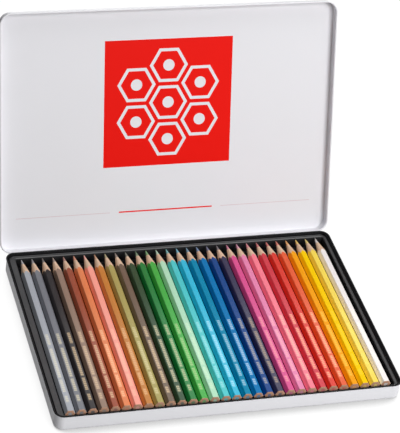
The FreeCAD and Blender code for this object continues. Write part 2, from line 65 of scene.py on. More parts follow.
class Shade:
    """A value or colour socket of a material, with the operators of plain arithmetic."""

    def __init__(self, recipe: "Recipe", socket: Union[bpy.types.NodeSocket, None]) -> None:
        """Keep the socket and the recipe that it belongs to."""
        self.recipe = recipe
        self.socket = socket

    def _math(self, operation: str, first: Number, second: Number = 0.0) -> "Shade":
        """One Math node on two values."""
        return self.recipe.node("ShaderNodeMath", {"operation": operation}, {0: first, 1: second})

    def __add__(self, other: Number) -> "Shade":
        """Sum of two values."""
        return self._math("ADD", self, other)

    __radd__ = __add__

    def __sub__(self, other: Number) -> "Shade":
        """Difference of two values."""
        return self._math("SUBTRACT", self, other)

    def __rsub__(self, other: Number) -> "Shade":
        """Difference with this value as the second term."""
        return self._math("SUBTRACT", other, self)

    def __mul__(self, other: Number) -> "Shade":
        """Product of two values, which is 'and' for masks."""
        return self._math("MULTIPLY", self, other)

    __rmul__ = __mul__

    def __abs__(self) -> "Shade":
        """Size of a value without its sign."""
        return self._math("ABSOLUTE", self)

    def __lt__(self, other: Number) -> "Shade":
        """Mask that is 1 where this value is the smaller one."""
        return self._math("LESS_THAN", self, other)

    def __gt__(self, other: Number) -> "Shade":
        """Mask that is 1 where this value is the larger one."""
        return self._math("GREATER_THAN", self, other)

    def larger(self, other: Number) -> "Shade":
        """The larger of two values, which is 'or' for masks."""
        return self._math("MAXIMUM", self, other)

    def fraction(self) -> "Shade":
        """Part of the value after the point, which repeats a pattern."""
        return self._math("FRACT", self)


class Recipe:
    """A material or world while its nodes are being put together."""

    def __init__(self, owner: Union[bpy.types.Material, bpy.types.World]) -> None:
        """Start from an empty node tree.

        Args:
            owner: the material or world that is dressed.
        """
        owner.use_nodes = True
        self.owner = owner
        self.tree = owner.node_tree
        self.tree.nodes.clear()

    def node(self, kind: str, settings: dict[str, Any], inputs: dict[Any, Any], output: Any = 0) -> Shade:
        """Add one node.

        Args:
            kind: the node's type.
            settings: properties set before the sockets, or "stops" of a colour ramp.
            inputs: socket name or number to a value or a Shade.
            output: name or number of the socket that is handed back.

        Returns:
            The chosen output.
        """
        made = self.tree.nodes.new(kind)
        for key, setting in settings.items():
            if key == "stops":
                self._set_stops(made.color_ramp, setting)
            else:
                setattr(made, key, setting)
        for key, value in inputs.items():
            if isinstance(value, Shade):
                self.tree.links.new(value.socket, made.inputs[key])
            else:
                made.inputs[key].default_value = value
        return Shade(self, made.outputs[output] if made.outputs else None)

    @staticmethod
    def _set_stops(ramp: bpy.types.ColorRamp, stops: Sequence[tuple[float, Colour]]) -> None:
        """Give a colour ramp its stops.

        Args:
            ramp: the ramp.
            stops: place and colour of each stop, in order.
        """
        while len(ramp.elements) < len(stops):
            ramp.elements.new(1.0)
        for element, (place, colour) in zip(ramp.elements, stops):
            element.position = place
            element.color = (*colour, 1.0)

    def mix(self, factor: Number, first: Any, second: Any) -> Shade:
        """Blend two colours.

        Args:
            factor: 0 gives the first colour and 1 the second.
            first: a colour or a Shade.
            second: a colour or a Shade.

        Returns:
            The blended colour.
        """
        first, second = (c if isinstance(c, Shade) else (*c, 1.0) for c in (first, second))
        return self.node("ShaderNodeMix", {"data_type": "RGBA"}, {0: factor, 6: first, 7: second}, 2)

    def places(self) -> Shade:
        """Object coordinates, in metres."""
        return self.node("ShaderNodeTexCoord", {}, {}, "Object")

    def zone(self) -> Shade:
        """Value of the mesh attribute that tells a piece's surfaces apart."""
        return self.node("ShaderNodeAttribute", {"attribute_name": ZONE}, {}, "Fac")

    def axes(self, vector: Shade) -> tuple[Shade, Shade, Shade]:
        """Take a vector apart.

        Args:
            vector: places in metres.

        Returns:
            Its three parts, in millimetres.
        """
        parts = self.node("ShaderNodeSeparateXYZ", {}, {0: vector}).socket.node.outputs
        x, y, z = (Shade(self, parts[index]) * (1 / MM) for index in range(3))
        return x, y, z

    def noise(self, vector: Shade, scale: float, stretch: Place = (1.0, 1.0, 1.0)) -> Shade:
        """Soft noise about 0.5.

        Args:
            vector: the places that it is read at.
            scale: lumps per metre.
            stretch: factors on the three axes before the noise is read.

        Returns:
            The noise value.
        """
        placed = self.node("ShaderNodeMapping", {}, {"Vector": vector, "Scale": stretch})
        sockets = {"Vector": placed, "Scale": scale, "Detail": NOISE_DETAIL}
        return self.node("ShaderNodeTexNoise", {}, sockets)

    def bump(self, height: Shade, strength: float, distance: float) -> Shade:
        """Normal that follows a height pattern, with its depth in millimetres."""
        sockets = {"Height": height, "Strength": strength, "Distance": distance * MM}
        return self.node("ShaderNodeBump", {}, sockets)

    def surface(self, **sockets: Any) -> bpy.types.Material:
        """Close the recipe with one principled surface.

        Args:
            **sockets: socket names with underscores for spaces, and their values.

        Returns:
            The finished material.
        """
        named = {}
        for key, value in sockets.items():
            is_colour = isinstance(value, tuple) and len(value) == 3
            named[key.replace("_", " ")] = (*value, 1.0) if is_colour else value
        shader = self.node("ShaderNodeBsdfPrincipled", {}, named)
        self.node("ShaderNodeOutputMaterial", {}, {"Surface": shader})
        return self.owner


def new_recipe(name: str) -> Recipe:
    """A recipe for a new material of that name."""
    return Recipe(bpy.data.materials.new(name))


@dataclass(frozen=True)
class LacqueredTinplate:
    """Satin white lacquer on rolled tinplate, with the faint mottle of stoved enamel.

    Patterns are given in lumps per metre and depths in millimetres, here and in the other finishes.
    """

    light: Colour = (0.82, 0.815, 0.85)
    dark: Colour = (0.78, 0.78, 0.81)
    # Black of the base's inside, which also reaches over the rim's crest as painted shade.
    inside_black_and_crest_shade: Colour = (0.012, 0.012, 0.013)
    inside_black_and_crest_shade_zone: float = 0.5
    mottle: float = 14.0
    peel: float = 900.0
    peel_strength: float = 0.15
    peel_depth: float = 0.05
    roughness: float = 0.32
    roughness_spread: float = 0.12
    gloss: float = 0.08

    def coat(self, recipe: Recipe) -> Shade:
        """Colour of the bare lacquer."""
        return recipe.mix(recipe.noise(recipe.places(), self.mottle), self.dark, self.light)

    def close(self, recipe: Recipe, colour: Shade) -> bpy.types.Material:
        """Finish a recipe with the lacquer's satin surface.

        Args:
            recipe: the material's recipe.
            colour: the lacquer's colour, print included.

        Returns:
            The finished material.
        """
        peel = recipe.noise(recipe.places(), self.peel)
        return recipe.surface(
            Base_Color=colour,
            Roughness=peel * self.roughness_spread + self.roughness,
            Specular_IOR_Level=self.gloss,
            Normal=recipe.bump(peel, self.peel_strength, self.peel_depth),
        )

    def material(self) -> bpy.types.Material:
        """The base's lacquer: white outside, black where the mesh's zone says inside, and on the crest as painted
        shade.

        Returns:
            The finished material.
        """
        recipe = new_recipe("white_and_black_lacquer")
        inside = recipe.zone() > self.inside_black_and_crest_shade_zone
        return self.close(recipe, recipe.mix(inside, self.coat(recipe), self.inside_black_and_crest_shade))


# One white lacquer in two copies: the base's is lighter than the lid's, as painted light on the base's walls.
LID_LACQUER = LacqueredTinplate()
BASE_LACQUER = LacqueredTinplate(light=(0.90, 0.895, 0.93), dark=(0.87, 0.87, 0.90))


@dataclass(frozen=True)
class LidPrint:
    """Print inside the lid: a red panel with pencil ends in a rosette, and thin rules below it."""

    lacquer: LacqueredTinplate
    red: Colour = (0.84, 0.008, 0.004)
    faint: Colour = (0.70, 0.58, 0.61)
    panel_half: tuple[float, float] = (52.0, 51.2)
    panel_middle: float = -18.3
    end_half: float = 13.5
    end_line: float = 2.4
    end_lead: float = 4.6
    end_spacing: float = 30.0
    rule_half: float = 38.7
    rule_place: float = 70.3
    rule_line: float = 1.1
    hair_ends: tuple[float, float] = (46.0, 122.0)
    hair_line: float = 0.5

    def rosette(self, x: Shade, y: Shade) -> Shade:
        """Mask of seven hexagonal pencil ends, one in the middle and six round it.

        A hexagon's distance is the largest of its three widths, so one line of it is a band of that
        distance. The rosette is alike in its four quarters, so one quarter's three ends make it.

        Args:
            x: place across the panel from its middle, in millimetres.
            y: place along the panel from its middle.

        Returns:
            1 on the lines and leads, 0 elsewhere.
        """
        across, along = abs(x), abs(y)
        slant = math.sqrt(3) / 2
        mask: Number = 0.0
        for centre_x, centre_y in ((0.0, 0.0), (0.0, 1.0), (slant, 0.5)):
            dx = abs(across - centre_x * self.end_spacing)
            dy = abs(along - centre_y * self.end_spacing)
            width = dy.larger(dx * slant + dy * 0.5)
            line = (width < self.end_half) * (width > self.end_half - self.end_line)
            lead = (dx * dx + dy * dy) < self.end_lead**2
            mask = line.larger(lead).larger(mask)
        return mask

    def material(self, hinge: "HingeLine", lid: "Lid") -> bpy.types.Material:
        """The lid's finish, lacquer all over and print on the inner face.

        Args:
            hinge: where the lid turns and how far it stands open.
            lid: the lid, for its sizes.

        Returns:
            The finished material.
        """
        recipe = new_recipe("lid_lacquer_and_print")
        turn = Matrix.Rotation(hinge.open_angle, 3, "X")
        shift = Vector((0.0, -lid.middle, 0.0)) * MM - turn @ hinge.axis
        sockets = {"Vector": recipe.places(), "Rotation": (hinge.open_angle, 0.0, 0.0), "Location": shift}
        x, y, z = recipe.axes(recipe.node("ShaderNodeMapping", {}, sockets))
        gauge = lid.sheet.gauge
        inside = (z < lid.height - gauge / 2) * (z > lid.height - 2 * gauge)
        panel = (abs(x) < self.panel_half[0]) * (abs(y - self.panel_middle) < self.panel_half[1])
        motif = self.rosette(x, y - self.panel_middle)
        from_rule = abs(y - self.rule_place)
        rule = (from_rule < self.rule_line / 2) * (abs(x) < self.rule_half)
        hair = (from_rule < self.hair_line / 2) * (abs(x) > self.hair_ends[0]) * (abs(x) < self.hair_ends[1])
        colour = recipe.mix(hair * inside, self.lacquer.coat(recipe), self.faint)
        red = (panel * (1 - motif)).larger(rule) * inside
        return self.lacquer.close(recipe, recipe.mix(red, colour, self.red))


@dataclass(frozen=True)
class BlackTrayPlastic:
    """Thin black moulded plastic with a fine grain, dull but for the coated ledge in painted sheen."""

    # Darker black of the lip and well: painted shade.
    black_with_painted_shade: Colour = (0.005, 0.005, 0.006)
    # Lighter mottled black of the ledge: painted sheen over a random tone.
    dark: Colour = (0.014, 0.014, 0.015)
    light: Colour = (0.030, 0.030, 0.032)
    grain: float = 1600.0
    grain_strength: float = 0.2
    grain_depth: float = 0.06
    wear: float = 30.0
    roughness: float = 0.34
    roughness_spread: float = 0.2
    gloss: float = 0.05
    polish: float = 0.9
    polish_roughness: float = 0.42

    def material(self) -> bpy.types.Material:
        """The tray's finish, with the coated ledge in painted sheen where the mesh's zone is 1.

        Returns:
            The finished material.
        """
        recipe = new_recipe("black_tray_plastic")
        places = recipe.places()
        grain = recipe.noise(places, self.grain)
        ledge_sheen_and_mottle = recipe.mix(recipe.noise(places, self.wear), self.dark, self.light)
        ledge = recipe.zone()
        return recipe.surface(
            # Painted light: the ledge lighter as sheen, the lip and well darker as shade.
            Base_Color=recipe.mix(ledge, self.black_with_painted_shade, ledge_sheen_and_mottle),
            Roughness=grain * self.roughness_spread + self.roughness,
            Specular_IOR_Level=self.gloss,
            Coat_Weight=ledge * self.polish,
            Coat_Roughness=self.polish_roughness,
            Normal=recipe.bump(grain, self.grain_strength, self.grain_depth),
        )


@dataclass(frozen=True)
class HingeSteel:
    """Bare drawn steel of the hinge leaves and pins, with streaks along the hinge."""

    dark: Colour = (0.42, 0.42, 0.44)
    light: Colour = (0.62, 0.62, 0.64)
    streak: float = 500.0
    streak_stretch: Place = (0.06, 1.0, 1.0)
    roughness: float = 0.28
    roughness_spread: float = 0.2

    def material(self) -> bpy.types.Material:
        """The hinges' finish, whose streaks vary both its colour and its roughness.

        Returns:
            The finished material.
        """
        recipe = new_recipe("hinge_steel")
        streak = recipe.noise(recipe.places(), self.streak, self.streak_stretch)
        return recipe.surface(
            Base_Color=recipe.mix(streak, self.dark, self.light),
            Metallic=1.0,
            Roughness=streak * self.roughness_spread + self.roughness,
        )


class Foil(Enum):
    """Hot foil that a pencil is marked with."""

    GOLD = (0.95, 0.70, 0.42)
    PALE_GOLD = (0.90, 0.80, 0.52)
    ROSE_GOLD = (0.98, 0.62, 0.38)
    SILVER = (0.64, 0.80, 0.84)
    HONEY = (0.98, 0.72, 0.16)


@dataclass(frozen=True)
class PencilColour:
    """Colour of one pencil: name in the record, lacquer, foil, how well that covers, and gloss."""

    name: str
    lacquer: Colour
    foil: Foil
    cover: float = 0.40
    gloss: float = 0.35


PENCIL_COLOURS = (
    PencilColour("silver_grey", (0.38, 0.40, 0.44), Foil.PALE_GOLD, 0.35),
    PencilColour("slate_grey", (0.18, 0.185, 0.21), Foil.PALE_GOLD),
    PencilColour("charcoal", (0.010, 0.006, 0.007), Foil.GOLD),
    PencilColour("taupe", (0.28, 0.18, 0.13), Foil.GOLD, 0.35),
    PencilColour("red_brown", (0.31, 0.060, 0.022), Foil.GOLD),
    PencilColour("terracotta", (0.78, 0.22, 0.075), Foil.GOLD, 0.35),
    PencilColour("salmon", (0.96, 0.36, 0.28), Foil.ROSE_GOLD, 0.21),
    PencilColour("ochre", (0.55, 0.20, 0.028), Foil.GOLD, 0.28),
    PencilColour("olive", (0.40, 0.335, 0.095), Foil.PALE_GOLD, 0.28),
    PencilColour("umber", (0.15, 0.10, 0.065), Foil.GOLD),
    PencilColour("grey_green", (0.014, 0.054, 0.016), Foil.PALE_GOLD),
    PencilColour("leaf_green", (0.001, 0.19, 0.030), Foil.PALE_GOLD, 0.35),
    PencilColour("bright_green", (0.045, 0.405, 0.05), Foil.PALE_GOLD, 0.25),
    PencilColour("pale_green", (0.43, 0.745, 0.52), Foil.PALE_GOLD, 0.18),
    PencilColour("turquoise", (0.055, 0.56, 0.58), Foil.SILVER, 0.25),
    PencilColour("sky_blue", (0.014, 0.475, 0.69), Foil.SILVER, 0.35),
    PencilColour("cerulean", (0.001, 0.24, 0.42), Foil.SILVER, 0.35, 0.1),
    PencilColour("mid_blue", (0.001, 0.18, 0.455), Foil.SILVER, 0.40, 0.1),
    PencilColour("deep_blue", (0.001, 0.052, 0.230), Foil.PALE_GOLD, 0.28, 0.2),
    PencilColour("indigo", (0.018, 0.014, 0.058), Foil.GOLD, 0.25),
    PencilColour("magenta", (0.67, 0.06, 0.25), Foil.ROSE_GOLD, 0.25),
    PencilColour("lilac", (0.77, 0.21, 0.405), Foil.ROSE_GOLD, 0.25),
    PencilColour("pink", (0.93, 0.19, 0.26), Foil.ROSE_GOLD, 0.35),
    PencilColour("crimson", (0.61, 0.026, 0.047), Foil.ROSE_GOLD),
    PencilColour("red", (0.69, 0.026, 0.010), Foil.ROSE_GOLD),
    PencilColour("vermilion", (0.78, 0.094, 0.019), Foil.ROSE_GOLD),
    PencilColour("orange", (0.93, 0.36, 0.002), Foil.HONEY, 0.28, 0.1),
    PencilColour("yellow", (0.95, 0.60, 0.001), Foil.HONEY, 0.14, 0.05),
    PencilColour("lemon", (0.90, 0.67, 0.07), Foil.HONEY, 0.18),
    PencilColour("white", (0.87, 0.82, 0.805), Foil.PALE_GOLD, 0.21),
)


@dataclass(frozen=True)
class PencilFinish:
    """Gloss lacquer with foil marks, bare cedar at the cone and the blunt end, coloured lead."""

    colour: PencilColour
    cone_dark: Colour = (0.55, 0.35, 0.22)
    cone_light: Colour = (0.78, 0.58, 0.42)
    end_dark: Colour = (0.38, 0.18, 0.11)
    end_light: Colour = (0.66, 0.40, 0.27)
    lead_shade: Colour = (0.46, 0.40, 0.37)
    lead_fade: float = 0.4
    paint_dip: float = 0.9
    paint_streak: float = 60.0
    paint_stretch: Place = (1.0, 0.1, 1.0)
    grain: float = 700.0
    grain_stretch: Place = (1.0, 0.08, 1.0)
    grain_strength: float = 0.3
    grain_depth: float = 0.1
    pores: float = 1500.0
    roughness: float = 0.27
    roughness_spread: float = 0.1
    bare_roughness: float = 0.35
    foil_metal: float = 0.3
    mark_blocks: tuple[tuple[float, float], ...] = ((9.0, 16.0), (20.0, 33.0), (35.0, 67.0), (71.0, 83.0))
    mark_half: float = 1.1
    mark_reach: float = 0.15
    dash_pitch: float = 2.0
    dash_share: float = 0.55
    dash_depth: float = 0.5

    def foil_mask(self, x: Shade, y: Shade, z: Shade, sizes: "PencilSizes") -> Shade:
        """Mask of the foil on the top flat: plain bands, denser in even dashes along the pencil.

        Args:
            x: place across from the pencil's middle, in millimetres.
            y: place along from the blunt end.
            z: height above the pencil's middle.
            sizes: sizes of the pencil.

        Returns:
            1 on the dashes, less between them, and 0 off the foil.
        """
        blocks: Number = 0.0
        for start, end in self.mark_blocks:
            blocks = ((y > start) * (y < end)).larger(blocks)
        dashes = (y * (1 / self.dash_pitch)).fraction() < self.dash_share
        top = (z > sizes.flats / 2 - self.mark_reach) * (abs(x) < self.mark_half)
        return blocks * top * (dashes * self.dash_depth + (1 - self.dash_depth))

    def material(self, middle: Vector, sizes: "PencilSizes") -> bpy.types.Material:
        """The finish of one pencil, its zones told apart by the mesh's "zone" attribute.

        Args:
            middle: middle of the pencil's blunt end, in millimetres.
            sizes: sizes of the pencil.

        Returns:
            The finished material.
        """
        recipe = new_recipe(f"pencil_finish_{self.colour.name}")
        places = recipe.places()
        x, y, z = recipe.axes(places)
        x, y, z = x - middle.x, y - middle.y, z - middle.z
        zone = recipe.zone()
        end = (zone > PencilZone.END.value) * (zone < PencilZone.LACQUER.value)
        painted = (zone > PencilZone.LACQUER.value) * (zone < PencilZone.CONE.value)
        cone = (zone > PencilZone.CONE.value) * (zone < PencilZone.LEAD.value)
        grain = recipe.noise(places, self.grain, self.grain_stretch)
        pores = recipe.noise(places, self.pores)
        foil = self.foil_mask(x, y, z, sizes) * painted * self.colour.cover
        paint = self.colour.lacquer
        deep = tuple(self.paint_dip * part for part in paint)
        lead = recipe.mix(self.lead_fade, paint, self.lead_shade)
        streak = recipe.noise(places, self.paint_streak, self.paint_stretch)
        colour = recipe.mix(streak, deep, paint)
        colour = recipe.mix(painted, lead, colour)
        colour = recipe.mix(foil, colour, self.colour.foil.value)
        colour = recipe.mix(end, colour, recipe.mix(pores, self.end_dark, self.end_light))
        colour = recipe.mix(cone, colour, recipe.mix(grain, self.cone_dark, self.cone_light))
        bare = end.larger(cone)
        return recipe.surface(
            Base_Color=colour,
            Roughness=bare * self.bare_roughness + pores * self.roughness_spread + self.roughness,
            Specular_IOR_Level=self.colour.gloss,
            Metallic=foil * self.foil_metal,
            Normal=recipe.bump(grain * bare, self.grain_strength, self.grain_depth),
        )


@dataclass(frozen=True)
class Ring:
    """Stations round a rounded rectangle, shared by all rows of a surface.

    A corner station sits on its corner's arc. A straight station on the back side has no corner
    across and keeps its own place there.
    """

    side_x: np.ndarray
    side_y: np.ndarray
    fixed_x: np.ndarray
    cosine: np.ndarray
    sine: np.ndarray

    @classmethod
    def around(cls, steps: int, back_places: Sequence[float] = ()) -> "Ring":
        """Stations anticlockwise from the right-hand back corner.

        Args:
            steps: pieces that each quarter circle is cut into.
            back_places: places across, of more stations on the straight back side.

        Returns:
            The ring of stations.
        """
        quarter = np.linspace(0.0, math.pi / 2, steps + 1)
        corners = [(1, 1, 0), (-1, 1, 1), (-1, -1, 2), (1, -1, 3)]
        same = np.ones(steps + 1)
        columns = [[x * same, y * same, 0 * same, quarter + turn * math.pi / 2] for x, y, turn in corners]
        back = np.sort(np.array(back_places, float))[::-1]
        straight = [np.zeros(back.size), np.ones(back.size), back, np.full(back.size, math.pi / 2)]
        columns.insert(1, straight)
        side_x, side_y, fixed_x, turn = (np.concatenate(part) for part in zip(*columns))
        return cls(side_x, side_y, fixed_x, np.cos(turn), np.sin(turn))

    def rows(self, half_x: Any, half_y: Any, radius: Any, height: Any) -> np.ndarray:
        """Carry a profile round the rectangle: each row is one rounded rectangle at one height.

        A point is its corner's centre plus the corner's radius along the station's direction.

        Args:
            half_x: half width of each row.
            half_y: half depth of each row.
            radius: corner radius of each row.
            height: height of each row.

        Returns:
            Points as rows by stations by 3.
        """
        half_x, half_y, radius, height = (
            np.atleast_1d(part)[:, None].astype(float)
            for part in np.broadcast_arrays(half_x, half_y, radius, height)
        )
        x = (half_x - radius) * self.side_x + self.fixed_x + radius * self.cosine
        y = (half_y - radius) * self.side_y + radius * self.sine
        return np.stack([x, y, np.broadcast_to(height, x.shape)], axis=-1)


def closed_faces(rows: int, columns: int, first: int) -> list[tuple[int, ...]]:
    """Faces of a grid that closes on itself along its rows, with a flat cap at each end.

    Args:
        rows: number of rows.
        columns: number of points in a row.
        first: number of the grid's first point.

    Returns:
        Faces as tuples of point numbers, facing outwards for rows that run anticlockwise.
    """
    points = first + np.arange(rows * columns).reshape(rows, columns)
    following = np.roll(points, -1, axis=1)
    quads = np.stack([points[:-1], following[:-1], following[1:], points[1:]], axis=-1).reshape(-1, 4)
    caps = [points[0, ::-1].tolist(), points[-1].tolist()]
    return [tuple(face) for face in quads.tolist() + caps]


def arc(start: float, end: float, steps: int) -> np.ndarray:
    """Angles in radians from start to end, both given in degrees."""
    return np.radians(np.linspace(start, end, steps + 1))


@dataclass
class Piece:
    """A mesh piece under construction: points in millimetres and faces, joined from parts."""

    name: str
    points: list[np.ndarray] = field(default_factory=list)
    faces: list[tuple[int, ...]] = field(default_factory=list)
    zones: list[np.ndarray] = field(default_factory=list)

    def add(self, rows: np.ndarray, zones: Any = 0.0) -> None:
        """Add one closed grid of rows by columns by 3.

        Args:
            rows: the points of the grid.
            zones: zone value of each row, or one for all.
        """
        first = sum(len(part) for part in self.points)
        self.points.append(rows.reshape(-1, 3))
        self.zones.append(np.repeat(np.broadcast_to(zones, rows.shape[0]), rows.shape[1]))
        self.faces.extend(closed_faces(*rows.shape[:2], first))

    def finish(self, material: bpy.types.Material, sharp: float = 32.0) -> bpy.types.Object:
        """Make the object, smooth but for edges sharper than an angle.

        Args:
            material: the finish of the whole piece.
            sharp: angle in degrees.

        Returns:
            The new object, at the origin with its place in its mesh.
        """
        mesh = bpy.data.meshes.new(self.name)
        mesh.from_pydata((np.concatenate(self.points) * MM).tolist(), [], self.faces)
        mesh.polygons.foreach_set("use_smooth", np.ones(len(mesh.polygons), bool))
        mesh.set_sharp_from_angle(angle=math.radians(sharp))
        mesh.materials.append(material)
        zone = mesh.attributes.new(ZONE, "FLOAT", "POINT")
        zone.data.foreach_set("value", np.concatenate(self.zones).astype(np.float32))
        mesh.update()
        made = bpy.data.objects.new(self.name, mesh)
        bpy.context.scene.collection.objects.link(made)
        return made


def settle(made: bpy.types.Object, body: str, node: str) -> bpy.types.Object:
    """Let a piece ride a body in place of its CAD node and report it.

    Args:
        made: the new piece.
        body: CAD body that it moves with.
        node: CAD node that it stands for.

    Returns:
        The same piece.
    """
    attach(made, body)
    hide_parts(node)
    LOG.info("%s: %d faces for %s", made.name, len(made.data.polygons), node)
    return made


@dataclass(frozen=True)
class HingeLine:
    """Where the lid turns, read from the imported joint."""

    axis: Vector
    open_angle: float

    @classmethod
    def from_frame(cls) -> "HingeLine":
        """The hinge of the frame's lid joint, open as far as its range allows."""
        joint = next(item for item in frame["joints"] if item["name"] == "lid_hinge")
        return cls(Vector(joint["pos_m"]), math.radians(joint["range_deg"][1] - joint["range_deg"][0]))

    def open(self, points: np.ndarray) -> np.ndarray:
        """Turn points of the shut lid, measured from the hinge axis, to the open lid.

        Args:
            points: places in millimetres, with the last axis as x, y and z.

        Returns:
            Places of the open lid in the part's frame, in millimetres.
        """
        turn = np.array(Matrix.Rotation(-self.open_angle, 3, "X"))
        return points @ turn.T + np.array(self.axis) / MM


@dataclass(frozen=True)
class RolledSheet:
    """Sheet drawn into a pan: flat plate, bent edge, plain wall and a rolled rim."""

    corner: float
    bend: float
    bead: float
    gauge: float = 0.5
    corner_steps: int = 16
    bend_steps: int = 8
    roll_steps: int = 20
    cap_corner: float = 0.5

    def roll(self) -> np.ndarray:
        """Angles round the rim, which the wall enters from below.

        Returns:
            Angles in radians, about 180 degrees outside, 90 at the crest and 0 inside.
        """
        entry = math.degrees(math.acos(self.gauge / self.bead))
        return arc(180 + entry, -entry, self.roll_steps)

    def profile(self, height: float) -> tuple[np.ndarray, np.ndarray]:
        """Outline of the sheet from the plate's outside over the rolled rim to its inside.

        The bends are quarter circles, and the rim is a circle about the top of the wall.

        Args:
            height: outside of the plate to the crest of the rim.

        Returns:
            Inset from the outside of the wall, and height above the plate's outside, of each row.
        """
        bead, inner = self.bead / 2, self.bend - self.gauge
        bend, roll = arc(0, 90, self.bend_steps), self.roll()
        flat = self.corner - self.cap_corner
        inset = np.concatenate([
            [flat], self.bend * (1 - np.sin(bend)), self.gauge / 2 + bead * np.cos(roll),
            self.gauge + inner * (1 - np.sin(bend[::-1])), [flat],
        ])
        level = np.concatenate([
            [0.0], self.bend * (1 - np.cos(bend)), height - bead + bead * np.sin(roll),
            self.gauge + inner * (1 - np.cos(bend[::-1])), [self.gauge],
        ])
        return inset, level

    def sweep(self, ring: Ring, half_x: float, half_y: float, height: float) -> np.ndarray:
        """Carry the profile round the pan.

        Args:
            ring: stations round the pan.
            half_x: half width over the wall.
            half_y: half depth over the wall.
            height: outside of the plate to the crest of the rim.

        Returns:
            Points as rows by stations by 3, with the plate below and the rim above.
        """
        inset, level = self.profile(height)
        radius = np.maximum(self.corner - inset, self.cap_corner)
        return ring.rows(half_x - inset, half_y - inset, radius, level)


@dataclass
class TinBase:
    """Base pan of the tin, black inside from its rim, the black on the rim's crest being painted shade."""

    sheet: RolledSheet = RolledSheet(corner=7.0, bend=2.5, bead=1.5)
    # The black starts outside the rim's crest, to paint shade on the crest.
    inside_black_and_crest_shade_start: float = 140.0

    def inside_black_and_crest_shade(self, rows: int) -> np.ndarray:
        """Zones of the profile's rows: the black begins at an angle a little outside the rim's crest, as painted
        shade on it.

        Args:
            rows: number of rows.

        Returns:
            1 for a row of the black inside and the crest's painted shade, and 0 for the others.
        """
        rows_before_rim = self.sheet.bend_steps + 2
        first = rows_before_rim + np.argmax(self.sheet.roll() < math.radians(self.inside_black_and_crest_shade_start))
        return (np.arange(rows) >= first).astype(float)

    def build(self, finish: LacqueredTinplate) -> bpy.types.Object:
        """Sweep the sheet round the tin.

        Args:
            finish: the lacquer.

        Returns:
            The base pan.
        """
        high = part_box("base_pan")[1] / MM
        reach = (self.sheet.bead - self.sheet.gauge) / 2
        ring = Ring.around(self.sheet.corner_steps)
        points = self.sheet.sweep(ring, high.x - reach, high.y - reach, high.z)
        piece = Piece("tin_base")
        piece.add(points, self.inside_black_and_crest_shade(len(points)))
        return settle(piece.finish(finish.material()), "tin", "base_pan")


@dataclass
class Lid:
    """Lid: a shallow pan upside down, its rim cut away at the two hinges.

    Its places are measured from the hinge axis with the lid shut.
    """

    sheet: RolledSheet = RolledSheet(corner=9.4, bend=1.6, bead=1.4)
    height: float = 8.5
    setback: float = 1.3
    half_depth: float = 95.7
    notch_half: float = 15.8
    notch_top: float = 1.7
    notch_edge: float = 0.05
    hinge_half_spacing: float = 75.0

    @property
    def middle(self) -> float:
        """Middle of the lid along the depth."""
        return -self.setback - self.half_depth

    def build(self, hinge: HingeLine, finish: LidPrint) -> bpy.types.Object:
        """Sweep the sheet round the lid, turn it over, cut its notches and swing it open.

        Between the ends of a notch the rim is pressed up to the notch's top and into the sheet.

        Args:
            hinge: where the lid turns.
            finish: the lacquer and print.

        Returns:
            The lid.
        """
        low, high = (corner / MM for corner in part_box("lid"))
        half_width = (high.x - low.x - self.sheet.bead + self.sheet.gauge) / 2
        edge = np.array([-self.notch_edge, self.notch_edge])
        ends = np.array([-1, 1]) * self.notch_half
        places = np.array([-1, 1]) * self.hinge_half_spacing
        stations = (places[:, None, None] + ends[:, None] + edge).ravel()
        ring = Ring.around(self.sheet.corner_steps, stations)
        points = self.sheet.sweep(ring, half_width, self.half_depth, self.height)[::-1]
        points[..., 2] = self.height - points[..., 2]
        near = np.abs(np.abs(ring.fixed_x) - self.hinge_half_spacing) < self.notch_half
        in_notch = near & (ring.side_x == 0)
        inset, level = self.half_depth - points[:, in_notch, 1], points[:, in_notch, 2]
        pressed = np.where(level < self.notch_top, np.clip(inset, 0.0, self.sheet.gauge), inset)
        points[:, in_notch, 1] = self.half_depth - pressed
        points[:, in_notch, 2] = np.maximum(level, self.notch_top)
        points[..., 1] += self.middle
        piece = Piece("tin_lid")
        piece.add(hinge.open(points))
        return settle(piece.finish(finish.material(hinge, self)), "lid", "lid")


